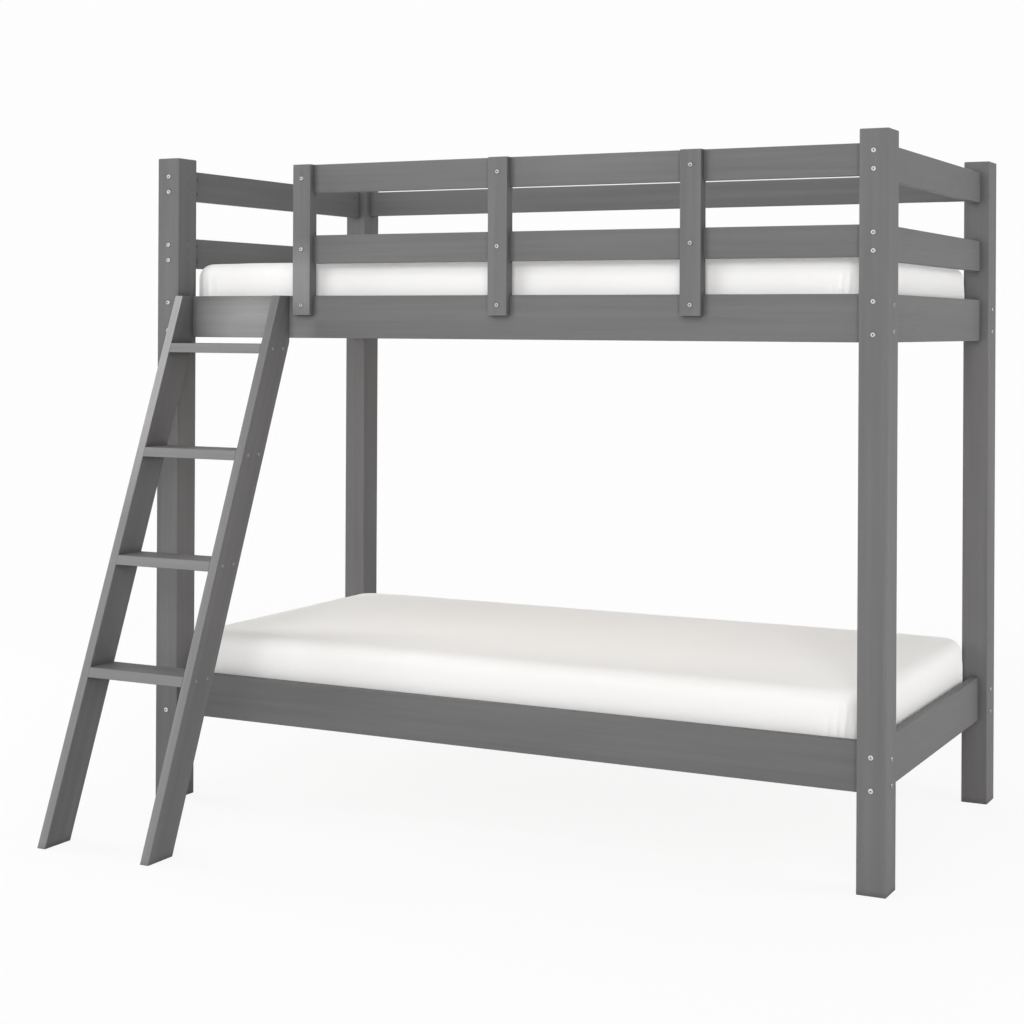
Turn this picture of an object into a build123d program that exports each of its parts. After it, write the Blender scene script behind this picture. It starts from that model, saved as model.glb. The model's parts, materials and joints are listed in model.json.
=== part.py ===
from build123d import *
import os
from collections import namedtuple
from math import cos, radians, sqrt, tan

# A wooden bunk bed for two single mattresses, with a fixed ladder on its front.
# Millimetres, +Z up, the floor at Z = 0. X runs along the bed, and the ladder leans out towards -Y.
# The origin is on the floor under the middle of the whole object, ladder included.
# The model is laid out about the middle of the bed, and save() moves it there.

# Mattresses with their fitted sheets: the frame is built round them
mattress_length = 1940
mattress_width = 938
mattress_thick = 154
mattress_edge = 38
mattress_end_gap = 8  # to the end rails
mattress_side_gap = 6  # to the side rails
mattress_corner_gap = 4.3  # from its rounded corners to the posts' inner edges
sheet_thick = 1
sheet_hem = 90
rest_gap = 0.3

# Frame
post_height = 1750
post_width = 70  # along X
post_depth = 82  # along Y
post_edge = 3
board_edge = 2

# Rails: the upper and lower bunk have the same plan
side_rail_thick = 25
side_rail_inset = 31  # from a post's outer face to the rail's outer face
end_rail_thick = 22
end_rail_inset = 25
upper_rail_drop = 377  # from the posts' tops to the rail's top
upper_rail_height = 112
lower_rail_top = 343
lower_rail_height = 117

# Guard rails round the upper bunk
guard_thick = 22
guard_height = 75
end_guard_height = 82
guard_top_drop = 30  # from the posts' tops to the board's top
guard_mid_drop = 217

# Uprights that tie the front guard rails to the side rail, from the ladder to the right
upright_gap = 22  # between the ladder and the first upright
upright_pitch_left = 583  # from the first upright to the second
upright_pitch_right = 519  # from the second to the third
upright_width = 54
upright_proud = 20  # in front of the rails
upright_notch = 12  # how far the rails are let into the uprights
upright_overlap = 51  # of an upright's foot on the side rail

# Ladder
ladder_angle = 21.9  # from the vertical
ladder_width = 340
ladder_gap = 1.5  # between the ladder and the post
stringer_thick = 25
stringer_width = 90  # square to its length
stringer_top_depth = 46  # of the level cut at its top
step_count = 4
step_rise = 274
step_thick = 25
top_step_drop = 128  # from the rail's top to the top step's tread

# Slatted decks
upper_deck_drop = 65  # from a rail's top to the top of the slats
lower_deck_drop = 48
slat_count = 13
slat_width = 68
slat_thick = 18
slat_edge = 4
slat_end_gap = 2
slat_margin = 6  # from a cleat's end to the first slat
strap_width = 25
strap_thick = 1.5
strap_spacing = 480
cleat_height = 27
cleat_depth = 25
cleat_end_gap = 48  # clear of the nut bores in the rail's ends

# Connector bolts, and where they go in each board
bolt_size = 6
bolt_head = 12
bolt_head_height = 2.2
bolt_head_bevel = 1.2
bolt_socket = 4  # across flats
bolt_socket_depth = 1.5
bolt_reach = 40  # into the end of a rail
bolt_bore = 7
end_bolt_spread = 38  # above and below the middle of an end rail
side_bolt_spread = 30.5  # of a side rail: clear of the end rail's bolts inside the post
guard_bolt_spread = 21
lower_bolt_drop = 7  # how far below the rail's middle the lower bunk's bolts lie
nut_size = 10
nut_length = 19
nut_depth = 30  # of a nut's axis from the rail's end
fit_gap = 0.15  # radial, between a fastener and its hole

guard_bolt_length = 38
cap_nut_size = 8
cap_nut_head = 13
cap_nut_head_height = 1.8
cap_nut_length = 15

ladder_bolt_drop = 38  # from the rail's top to the upper bolt
ladder_bolt_pitch = 20
ladder_bolt_length = 43
insert_size = 10
insert_length = 16

screw_size = 4
screw_head = 8
screw_head_depth = 3
cleat_screw_count = 6
cleat_screw_length = 40
cleat_screw_margin = 60
slat_screw_length = 32
slat_screw_inset = 14
step_screw_length = 60
step_screw_spacing = 47

dowel_size = 8
dowel_length = 36
dowel_spread = 18
dowel_bore_spare = 2
plug_length = 6

# Planes of the frame, measured from the middle of the bed outwards
end_rail_back = mattress_length / 2 + mattress_end_gap
end_rail_face = end_rail_back + end_rail_thick
end_rail_middle = end_rail_face - end_rail_thick / 2
half_length = end_rail_face + end_rail_inset
post_inner_x = half_length - post_width
side_rail_back = mattress_width / 2 + mattress_side_gap
side_rail_face = side_rail_back + side_rail_thick
half_width = side_rail_face + side_rail_inset
side_rail_middle = side_rail_face - side_rail_thick / 2
guard_back = side_rail_face - guard_thick
guard_middle = side_rail_face - guard_thick / 2
post_inner_y = half_width - post_depth

# A mattress reaches past the posts' inner edges, and its corners are round enough to clear them
clear_x = mattress_length / 2 - post_inner_x + mattress_corner_gap
clear_y = mattress_width / 2 - post_inner_y + mattress_corner_gap
mattress_corner = clear_x + clear_y - mattress_corner_gap + sqrt(2 * clear_x * clear_y)

# Heights of the boards' top edges
upper_rail_top = post_height - upper_rail_drop
guard_top_level = post_height - guard_top_drop
guard_mid_level = post_height - guard_mid_drop

# Ladder lines: the front edge at the rail's top, and the slope from there to the floor
ladder_slope = tan(radians(ladder_angle))
stringer_depth = stringer_width / cos(radians(ladder_angle))
ladder_left = -post_inner_x + ladder_gap
ladder_foot = side_rail_face + stringer_top_depth + upper_rail_top * ladder_slope
first_upright = ladder_left + ladder_width + upright_gap
second_upright = first_upright + upright_pitch_left
upright_lefts = [first_upright, second_upright, second_upright + upright_pitch_right]
step_tops = [upper_rail_top - top_step_drop - step_rise * i for i in range(step_count)]

# The object reaches from the ladder's foot to the heads of the rear bolts
bed_middle_y = (ladder_foot - half_width - bolt_head_height) / 2

Level = namedtuple("Level", "name top height bolt_drop deck_drop")
upper = Level("upper", upper_rail_top, upper_rail_height, 0, upper_deck_drop)
lower = Level("lower", lower_rail_top, lower_rail_height, lower_bolt_drop, lower_deck_drop)
guard_top = Level("top", guard_top_level, end_guard_height, 0, 0)
guard_mid = Level("mid", guard_mid_level, end_guard_height, 0, 0)

# A frame bolt: the seat of its head on the post, the way its shank goes, the post it crosses,
# and, for its nut, the way into the room from the board and that board's thickness
FrameBolt = namedtuple("FrameBolt", "seat into post inward board")


# ---- Shapes ----


def block(x, y, z):
    """A square-edged block between three pairs of limits."""
    size = [limits[1] - limits[0] for limits in (x, y, z)]
    middle = [(limits[0] + limits[1]) / 2 for limits in (x, y, z)]
    return Pos(*middle) * Box(*size)


def board(x, y, z, run, edge=board_edge):
    """A block whose four edges along its run are rounded over."""
    blank = block(x, y, z)
    return fillet(blank.edges().filter_by(run), edge)


def outward(near, far, side):
    """The limits near..far from the bed's middle, on its + or - side."""
    return (near, far) if side > 0 else (-far, -near)


def along(start, direction, distance):
    """The point at a distance from start."""
    return tuple(s + d * distance for s, d in zip(start, direction))


def set_in(shape, start, direction):
    """A shape modelled along +Z, turned to a direction and moved to its start."""
    return Plane(origin=start, z_dir=direction).location * shape


def rod(start, direction, diameter, length):
    """A round bar, or the cutter for a round hole."""
    bar = Cylinder(diameter / 2, length, align=(Align.CENTER, Align.CENTER, Align.MIN))
    return set_in(bar, start, direction)


def bolt(length):
    """A socket bolt with its seat at Z = 0, its shank upwards and its bevelled head below."""
    low = (Align.CENTER, Align.CENTER, Align.MIN)
    head = Pos(0, 0, -bolt_head_height) * Cylinder(bolt_head / 2, bolt_head_height, align=low)
    rim = head.edges().sort_by(Axis.Z)[0]
    head = chamfer(rim, bolt_head_bevel)
    socket = extrude(RegularPolygon(bolt_socket / 2, 6, major_radius=False), bolt_socket_depth)
    head -= Pos(0, 0, -bolt_head_height) * socket
    return head + Cylinder(bolt_size / 2, length, align=low)


def screw(length, gap=0.0):
    """A countersunk screw with its head flush at Z = 0 and its shank upwards, or the cutter for its hole."""
    low = (Align.CENTER, Align.CENTER, Align.MIN)
    head = Cone(screw_head / 2 + gap, screw_size / 2 + gap, screw_head_depth + gap, align=low)
    return head + Cylinder(screw_size / 2 + gap, length + gap, align=low)


def sleeve(outer, inner, length):
    """A short tube upwards from Z = 0."""
    low = (Align.CENTER, Align.CENTER, Align.MIN)
    return Cylinder(outer / 2, length, align=low) - Cylinder(inner / 2, length, align=low)


def group(shapes):
    """Separate solids that share a node."""
    return Compound(list(shapes))


# ---- Where the frame bolts are ----


def bolt_heights(level, spread):
    """The two bolts of a board's end."""
    middle = level.top - level.height / 2 - level.bolt_drop
    return [middle + spread, middle - spread]


def side_bolts(level, side_y):
    """The bolts through the posts into both ends of one side rail."""
    return [
        FrameBolt((side_x * half_length, side_y * side_rail_middle, z), (-side_x, 0, 0), post_width,
                  (0, -side_y, 0), side_rail_thick)
        for side_x in (-1, 1)
        for z in bolt_heights(level, side_bolt_spread)
    ]


def end_bolts(level, side_x, spread):
    """The bolts through the posts into both ends of one end board."""
    return [
        FrameBolt((side_x * end_rail_middle, side_y * half_width, z), (0, -side_y, 0), post_depth,
                  (-side_x, 0, 0), end_rail_thick)
        for side_y in (-1, 1)
        for z in bolt_heights(level, spread)
    ]


def end_boards():
    """Each level that has an end board, the name of the board and its bolts' spread."""
    return [
        (upper, "upper_end_rail", end_bolt_spread),
        (lower, "lower_end_rail", end_bolt_spread),
        (guard_top, "end_guard_top", guard_bolt_spread),
        (guard_mid, "end_guard_mid", guard_bolt_spread),
    ]


all_side_bolts = [b for level in (upper, lower) for side in (-1, 1) for b in side_bolts(level, side)]
all_end_bolts = [
    b for level, _, spread in end_boards() for side in (-1, 1) for b in end_bolts(level, side, spread)
]


def nut_start(frame_bolt):
    """The outer end of a bolt's barrel nut, which lies across the middle of the board."""
    axis_point = along(frame_bolt.seat, frame_bolt.into, frame_bolt.post + nut_depth)
    return along(axis_point, frame_bolt.inward, -nut_length / 2)


def fastener_bores(frame_bolt):
    """The cutters for a bolt and its barrel nut: the nut goes in from the board's inner face."""
    shank = rod(frame_bolt.seat, frame_bolt.into, bolt_bore, frame_bolt.post + bolt_reach + fit_gap)
    start = along(nut_start(frame_bolt), frame_bolt.inward, -fit_gap)
    depth = fit_gap + nut_length / 2 + frame_bolt.board / 2
    return [shank, rod(start, frame_bolt.inward, nut_size + 2 * fit_gap, depth)]


def drilled(solid, frame_bolts):
    """A board with the holes of its bolts and nuts."""
    for frame_bolt in frame_bolts:
        for cutter in fastener_bores(frame_bolt):
            solid -= cutter
    return solid


def barrel_nut(frame_bolt):
    """A cross dowel with the bolt's hole through its middle."""
    nut = rod(nut_start(frame_bolt), frame_bolt.inward, nut_size, nut_length)
    return nut - rod(frame_bolt.seat, frame_bolt.into, bolt_size + 2 * fit_gap, frame_bolt.post + bolt_reach)


def guard_dowel_points(side_x, side_y):
    """Where dowels join the two guard rails to a post's inner face."""
    middles = [level.top - guard_height / 2 for level in (guard_top, guard_mid)]
    heights = [middle + up for middle in middles for up in (dowel_spread, -dowel_spread)]
    return [(side_x * post_inner_x, side_y * guard_middle, z) for z in heights]


# ---- Frame ----


def post(side_x, side_y):
    """A square-cut post, drilled for the rails' bolts and the guard rails' dowels."""
    x = outward(post_inner_x, half_length, side_x)
    y = outward(post_inner_y, half_width, side_y)
    blank = board(x, y, (0, post_height), Axis.Z, post_edge)
    blank = chamfer(blank.faces().sort_by(Axis.Z)[-1].edges(), board_edge)
    for frame_bolt in all_side_bolts + all_end_bolts:
        if frame_bolt.seat[0] * side_x > 0 and frame_bolt.seat[1] * side_y > 0:
            blank -= rod(frame_bolt.seat, frame_bolt.into, bolt_bore, frame_bolt.post)
    for point in guard_dowel_points(side_x, side_y):
        blank -= rod(point, (side_x, 0, 0), dowel_size + 2 * fit_gap, dowel_length / 2 + dowel_bore_spare)
    return blank


def side_rail(level, side_y):
    """A long rail between the posts."""
    y = outward(side_rail_back, side_rail_face, side_y)
    rail = board((-post_inner_x, post_inner_x), y, (level.top - level.height, level.top), Axis.X)
    rail = drilled(rail, side_bolts(level, side_y))
    for start, _ in cleat_screw_places(level, side_y):
        rail -= set_in(screw(cleat_screw_length, fit_gap), start, (0, side_y, 0))
    return rail


def end_board(level, side_x, spread):
    """An end rail or end guard board, between the posts at one end."""
    x = outward(end_rail_back, end_rail_face, side_x)
    y = (-post_inner_y, post_inner_y)
    rail = board(x, y, (level.top - level.height, level.top), Axis.Y)
    return drilled(rail, end_bolts(level, side_x, spread))


def guard_rail(level, side_y, left):
    """A long guard board from its left end to the right-hand post."""
    y = outward(guard_back, side_rail_face, side_y)
    return board((left, post_inner_x), y, (level.top - guard_height, level.top), Axis.X)


def dowel_bored(rail, side_x, side_y):
    """A guard board with the dowel holes of one end."""
    for point in guard_dowel_points(side_x, side_y):
        rail -= rod(point, (-side_x, 0, 0), dowel_size + 2 * fit_gap, dowel_length / 2 + dowel_bore_spare)
    return rail


def guard_dowel(point, side_x):
    """A dowel half in the post and half in the rail."""
    return rod(along(point, (-side_x, 0, 0), dowel_length / 2), (side_x, 0, 0), dowel_size, dowel_length)


def hole_plug(point, side_x):
    """A plug, flush in a dowel hole of the post that no guard rail reaches."""
    return rod(point, (side_x, 0, 0), dowel_size, plug_length)


# ---- Front guard ----


def notched_levels():
    """The height range of each board that is let into an upright."""
    return [
        (guard_top.top - guard_height, guard_top.top),
        (guard_mid.top - guard_height, guard_mid.top),
        (upper.top - upper.height, upper.top),
    ]


def upright_bolt_points(left):
    """The bolt seats on an upright: in the middle of each guard rail, and of its overlap on the side rail."""
    middles = [level.top - guard_height / 2 for level in (guard_top, guard_mid)]
    middles.append(upper.top - upright_overlap / 2)
    return [(left + upright_width / 2, -side_rail_face - upright_proud, z) for z in middles]


def guard_upright(left):
    """An upright on the outside of the front guard, notched over the rails."""
    x = (left, left + upright_width)
    outer = -side_rail_face - upright_proud
    upright = block(x, (outer, -side_rail_face + upright_notch), (upper.top - upright_overlap, guard_top.top))
    upright = fillet(upright.edges().filter_by(Axis.Z).group_by(Axis.Y)[0], board_edge)
    for low, high in notched_levels():
        upright -= block(x, (-side_rail_face, 0), (low - fit_gap, high + fit_gap))
    for point in upright_bolt_points(left):
        upright -= rod(point, (0, 1, 0), bolt_bore, upright_proud)
    return upright


def cap_nut(point, thick):
    """A round cap nut on the inner face of a board, over the end of an upright's bolt."""
    seat = along(point, (0, 1, 0), upright_proud + thick)
    barrel = rod(seat, (0, -1, 0), cap_nut_size, cap_nut_length)
    head = rod(seat, (0, 1, 0), cap_nut_head, cap_nut_head_height)
    return barrel + head - rod(point, (0, 1, 0), bolt_size + 2 * fit_gap, guard_bolt_length + fit_gap)


def upright_bored(rail, points, thick):
    """A board with the holes of the uprights' bolts and their cap nuts."""
    for point in points:
        rail -= rod(point, (0, 1, 0), bolt_bore, upright_proud + thick)
        seat = along(point, (0, 1, 0), upright_proud + thick)
        rail -= rod(seat, (0, -1, 0), cap_nut_size + 2 * fit_gap, cap_nut_length + fit_gap)
    return rail


def upright_points(index):
    """One row of upright bolts: 0 in the top guard rail, 1 in the middle one, 2 in the side rail."""
    return [upright_bolt_points(left)[index] for left in upright_lefts]


# ---- Ladder ----


def ladder_front(z):
    """The Y of the stringers' front edge at a height."""
    return -(side_rail_face + stringer_top_depth + (upper.top - z) * ladder_slope)


def ladder_back(z):
    """The Y of the stringers' back edge at a height."""
    return ladder_front(z) + stringer_depth


def side_cut(points, left, right):
    """A profile in the YZ plane, extruded between two X values."""
    outline = Plane.YZ.offset(left) * Polygon(*points, align=None)
    return extrude(outline, right - left, dir=(1, 0, 0))


def stringer_lefts():
    return [ladder_left, ladder_left + ladder_width - stringer_thick]


def stringer(left):
    """A sloping side of the ladder, cut level at its foot and top and upright against the rail."""
    back_foot = upper.top - (stringer_depth - stringer_top_depth) / ladder_slope
    profile = [
        (-side_rail_face, upper.top),
        (ladder_front(upper.top), upper.top),
        (ladder_front(0), 0),
        (ladder_back(0), 0),
        (-side_rail_face, back_foot),
    ]
    solid = side_cut(profile, left, left + stringer_thick)
    long_edges = solid.edges().sort_by(SortBy.LENGTH)[-4:]
    solid = fillet(long_edges, board_edge)
    for point in ladder_bolt_points(left):
        depth = side_rail_thick + insert_length + fit_gap
        solid -= rod(point, (0, -1, 0), insert_size + 2 * fit_gap, depth)
        solid -= rod(point, (0, -1, 0), bolt_bore, ladder_bolt_length + fit_gap)
    for point, direction in step_screw_places():
        solid -= set_in(screw(step_screw_length, fit_gap), point, direction)
    return solid


def ladder_step(top):
    """A level tread across the stringers, its front and back cut to their slope."""
    bottom = top - step_thick
    profile = [
        (ladder_front(top), top),
        (ladder_front(bottom), bottom),
        (ladder_back(bottom), bottom),
        (ladder_back(top), top),
    ]
    left, right = stringer_lefts()
    tread = side_cut(profile, left + stringer_thick, right)
    tread = fillet(tread.edges().filter_by(Axis.X), board_edge)
    for point, direction in step_screw_places():
        if abs(point[2] - top + step_thick / 2) < 1:
            tread -= set_in(screw(step_screw_length, fit_gap), point, direction)
    return tread


def step_screw_places():
    """The head and the direction of each screw through a stringer into a tread."""
    heights = [top - step_thick / 2 for top in step_tops]
    outer_faces = [(ladder_left, (1, 0, 0)), (ladder_left + ladder_width, (-1, 0, 0))]
    return [
        ((x, (ladder_front(z) + ladder_back(z)) / 2 + shift, z), direction)
        for x, direction in outer_faces
        for z in heights
        for shift in (-step_screw_spacing / 2, step_screw_spacing / 2)
    ]


def ladder_bolt_points(left):
    """The seats of one stringer's bolts, on the inner face of the side rail."""
    top = upper.top - ladder_bolt_drop
    return [(left + stringer_thick / 2, -side_rail_back, z) for z in (top, top - ladder_bolt_pitch)]


def ladder_insert(point):
    """A threaded insert in the stringer's upright cut."""
    mouth = along(point, (0, -1, 0), side_rail_thick)
    return set_in(sleeve(insert_size, bolt_size + 2 * fit_gap, insert_length), mouth, (0, -1, 0))


# ---- Slatted decks ----


def cleat_limits(level):
    """The X and Z limits of a cleat."""
    top = level.top - level.deck_drop - slat_thick
    reach = post_inner_x - cleat_end_gap
    return (-reach, reach), (top - cleat_height, top)


def cleat_screw_places(level, side_y):
    """The head and the direction of each screw through a cleat into its side rail."""
    (left, right), (low, high) = cleat_limits(level)
    pitch = (right - left - 2 * cleat_screw_margin) / (cleat_screw_count - 1)
    y = side_y * (side_rail_back - cleat_depth)
    z = (low + high) / 2
    return [((left + cleat_screw_margin + pitch * i, y, z), (0, side_y, 0)) for i in range(cleat_screw_count)]


def cleat(level, side_y):
    """The ledge that carries the slats along a side rail."""
    x, z = cleat_limits(level)
    ledge = board(x, outward(side_rail_back - cleat_depth, side_rail_back, side_y), z, Axis.X)
    for point, direction in cleat_screw_places(level, side_y):
        ledge -= set_in(screw(cleat_screw_length, fit_gap), point, direction)
    for point in slat_screw_points(level):
        if point[1] * side_y > 0:
            ledge -= set_in(screw(slat_screw_length, fit_gap), point, (0, 0, -1))
    return ledge


def slat_middles():
    """The X of each slat's middle line."""
    first = post_inner_x - cleat_end_gap - slat_margin - slat_width / 2
    pitch = 2 * first / (slat_count - 1)
    return [-first + pitch * i for i in range(slat_count)]


def slat(level, x):
    """One slat, from side rail to side rail."""
    reach = side_rail_back - slat_end_gap
    top = level.top - level.deck_drop
    across = (x - slat_width / 2, x + slat_width / 2)
    return board(across, (-reach, reach), (top - slat_thick, top), Axis.Y, slat_edge)


def slat_screw_points(level):
    """The screws that hold the first and last slat to the cleats."""
    y = side_rail_back - slat_screw_inset
    ends = (slat_middles()[0], slat_middles()[-1])
    return [(x, side * y, level.top - level.deck_drop) for x in ends for side in (-1, 1)]


def slats(level):
    """The slats of one bunk, with the screw holes of the end ones."""
    boards = [slat(level, x) for x in slat_middles()]
    for point in slat_screw_points(level):
        index = 0 if point[0] < 0 else -1
        boards[index] -= set_in(screw(slat_screw_length, fit_gap), point, (0, 0, -1))
    return group(boards)


def straps(level):
    """The two webbing straps that space the slats, on their underside."""
    reach = slat_middles()[-1] + slat_width / 2 - slat_edge
    top = level.top - level.deck_drop - slat_thick
    middles = (-strap_spacing / 2, strap_spacing / 2)
    half = strap_width / 2
    return group(block((-reach, reach), (y - half, y + half), (top - strap_thick, top)) for y in middles)


# ---- Mattresses ----


def cushion(grow, low, high):
    """A block with rounded corners and edges, grow larger all round than the mattress in plan."""
    x = mattress_length / 2 + grow
    y = mattress_width / 2 + grow
    blank = board((-x, x), (-y, y), (low, high), Axis.Z, mattress_corner + grow)
    blank = fillet(blank.faces().sort_by(Axis.Z)[-1].edges(), mattress_edge + grow)
    return fillet(blank.faces().sort_by(Axis.Z)[0].edges(), mattress_edge / 2 + grow)


def mattress(level):
    """A mattress on its deck, inside the hem of its sheet."""
    low = level.top - level.deck_drop + rest_gap + sheet_thick
    return cushion(0, low, low + mattress_thick)


def fitted_sheet(level):
    """A sheet over the mattress's top and sides, tucked under all round."""
    low = level.top - level.deck_drop + rest_gap
    cover = cushion(sheet_thick, low, low + mattress_thick + 2 * sheet_thick) - mattress(level)
    x = mattress_length / 2 - sheet_hem
    y = mattress_width / 2 - sheet_hem
    return cover - block((-x, x), (-y, y), (low, low + mattress_thick / 2))


# ---- The nodes ----


def save(name, shape):
    """Write one node, moved from the middle of the bed to the middle of the object."""
    export_step(Pos(0, bed_middle_y, 0) * shape, f"parts/{name}.step")


def save_frame():
    sides_y = (("front", -1), ("rear", 1))
    sides_x = (("left", -1), ("right", 1))
    for name_y, side_y in sides_y:
        for name_x, side_x in sides_x:
            save(f"post_{name_y}_{name_x}", post(side_x, side_y))
    for name_x, side_x in sides_x:
        for level, name, spread in end_boards():
            save(f"{name}_{name_x}", end_board(level, side_x, spread))
    save("lower_side_rail_front", side_rail(lower, -1))
    save("lower_side_rail_rear", side_rail(lower, 1))
    save("upper_side_rail_rear", side_rail(upper, 1))
    front = upright_bored(side_rail(upper, -1), upright_points(2), side_rail_thick)
    for left in stringer_lefts():
        for point in ladder_bolt_points(left):
            front -= rod(point, (0, -1, 0), bolt_bore, side_rail_thick)
    save("upper_side_rail_front", front)
    save("side_rail_bolts", group(set_in(bolt(b.post + bolt_reach), b.seat, b.into) for b in all_side_bolts))
    save("end_rail_bolts", group(set_in(bolt(b.post + bolt_reach), b.seat, b.into) for b in all_end_bolts))
    save("barrel_nuts", group(barrel_nut(b) for b in all_side_bolts + all_end_bolts))


def save_guard():
    for index, level in enumerate((guard_top, guard_mid)):
        front = dowel_bored(guard_rail(level, -1, upright_lefts[0]), 1, -1)
        save(f"guard_{level.name}_rail_front", upright_bored(front, upright_points(index), guard_thick))
        rear = dowel_bored(guard_rail(level, 1, -post_inner_x), 1, 1)
        save(f"guard_{level.name}_rail_rear", dowel_bored(rear, -1, 1))
    for number, left in enumerate(upright_lefts, 1):
        save(f"guard_upright_{number}", guard_upright(left))
    seats = [point for left in upright_lefts for point in upright_bolt_points(left)]
    save("guard_bolts", group(set_in(bolt(guard_bolt_length), point, (0, 1, 0)) for point in seats))
    in_guard = [cap_nut(point, guard_thick) for index in (0, 1) for point in upright_points(index)]
    save("guard_cap_nuts", group(in_guard + [cap_nut(point, side_rail_thick) for point in upright_points(2)]))
    dowelled = ((1, -1), (1, 1), (-1, 1))
    save("guard_dowels", group(guard_dowel(p, x) for x, y in dowelled for p in guard_dowel_points(x, y)))
    save("dowel_hole_plugs", group(hole_plug(point, -1) for point in guard_dowel_points(-1, -1)))


def save_ladder():
    for name, left in zip(("left", "right"), stringer_lefts()):
        save(f"ladder_stringer_{name}", stringer(left))
    for number, top in enumerate(reversed(step_tops), 1):
        save(f"ladder_step_{number}", ladder_step(top))
    seats = [point for left in stringer_lefts() for point in ladder_bolt_points(left)]
    save("ladder_bolts", group(set_in(bolt(ladder_bolt_length), point, (0, -1, 0)) for point in seats))
    save("ladder_inserts", group(ladder_insert(point) for point in seats))
    save("step_screws", group(set_in(screw(step_screw_length), p, d) for p, d in step_screw_places()))


def save_bunk(level):
    save(f"{level.name}_cleat_front", cleat(level, -1))
    save(f"{level.name}_cleat_rear", cleat(level, 1))
    save(f"{level.name}_slats", slats(level))
    save(f"{level.name}_slat_straps", straps(level))
    save(f"{level.name}_mattress", mattress(level))
    save(f"{level.name}_fitted_sheet", fitted_sheet(level))
    places = [place for side in (-1, 1) for place in cleat_screw_places(level, side)]
    save(f"{level.name}_cleat_screws", group(set_in(screw(cleat_screw_length), p, d) for p, d in places))
    points = slat_screw_points(level)
    save(f"{level.name}_slat_screws", group(set_in(screw(slat_screw_length), p, (0, 0, -1)) for p in points))


os.makedirs("parts", exist_ok=True)
save_frame()
save_guard()
save_ladder()
save_bunk(upper)
save_bunk(lower)
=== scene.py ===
import json
import math
import bmesh
import bpy
from mathutils import Matrix, Vector, noise


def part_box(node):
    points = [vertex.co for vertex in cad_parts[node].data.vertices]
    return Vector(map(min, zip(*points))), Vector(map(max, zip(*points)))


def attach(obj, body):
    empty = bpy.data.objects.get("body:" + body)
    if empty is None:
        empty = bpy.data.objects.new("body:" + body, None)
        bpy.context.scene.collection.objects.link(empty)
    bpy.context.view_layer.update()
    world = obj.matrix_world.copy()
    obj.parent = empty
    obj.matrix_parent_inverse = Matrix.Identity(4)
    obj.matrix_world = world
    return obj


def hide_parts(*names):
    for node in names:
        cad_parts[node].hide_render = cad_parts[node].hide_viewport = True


# The looks of a grey painted bunk bed. Metres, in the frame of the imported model.
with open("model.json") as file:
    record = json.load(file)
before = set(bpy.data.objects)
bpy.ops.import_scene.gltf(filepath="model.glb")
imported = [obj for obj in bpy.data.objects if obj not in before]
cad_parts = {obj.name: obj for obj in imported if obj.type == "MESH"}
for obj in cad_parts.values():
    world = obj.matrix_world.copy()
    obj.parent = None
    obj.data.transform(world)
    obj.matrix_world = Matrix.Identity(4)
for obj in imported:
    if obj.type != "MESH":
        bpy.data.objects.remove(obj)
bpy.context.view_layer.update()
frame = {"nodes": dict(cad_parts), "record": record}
nodes = frame["nodes"]

# ---- The photograph's view ----
# The camera stands at the front right of the bed, just under the upper rail and turned to the left.
IMAGE_SIZE = 1024
FOCAL_PIXELS = 1933.75
HORIZON_ROW = 326.66
CAMERA_FROM_BED = Vector((2.2487, -4.8283, 1.2936))  # from the floor under the middle of the bed
CAMERA_YAW = 26.91
CAMERA_ROLL = 0.28
SENSOR = 36

# ---- Paint, cloth and metal, as linear colours ----
PAINT = (0.1480, 0.1454, 0.1464)
# lighter paint, for painted highlights and for rubbed paint
PAINT_WORN_AND_LIT = (0.36, 0.355, 0.355)
PINE_PALE = (0.60, 0.475, 0.33)
PINE_DARK = (0.40, 0.275, 0.16)
ZINC = (0.74, 0.74, 0.75)
COTTON = (0.885, 0.880, 0.870)
TICKING = (0.84, 0.83, 0.81)
TAPE = (0.72, 0.69, 0.62)

# ---- Painted light and shade, and rubbed edges, in the finishes ----
EDGE_RADIUS = 0.0035  # how near an edge the paint is made lighter, as painted edge highlight and rubbed paint
LIT_FRONT_FACE = (0.75, 0.90)  # how squarely a face looks to the front before it gets painted light
SPOT_FADE = (1.0, 0.35)  # where a spot of painted light begins and is full, as shares of its reach
NOOK_REACH = 0.018  # how near another face the paint gets painted shade
NOOK_OPEN = (0.5, 0.95)  # how open a place is when its painted shade is full, and when it has none
# painted shade: how far the paint darkens towards NOOK_SHADE where other faces are near
NOOK_SHADE_DEPTH = 0.5
NOOK_SHADE = 0.25
# Painted shade inside the recesses of the metal: how near, how open, and how dark.
SOCKET_REACH = 0.006
SOCKET_OPEN = (0.55, 0.92)
SOCKET_SHADE = 0.05


# ---- Node graphs ----


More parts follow.
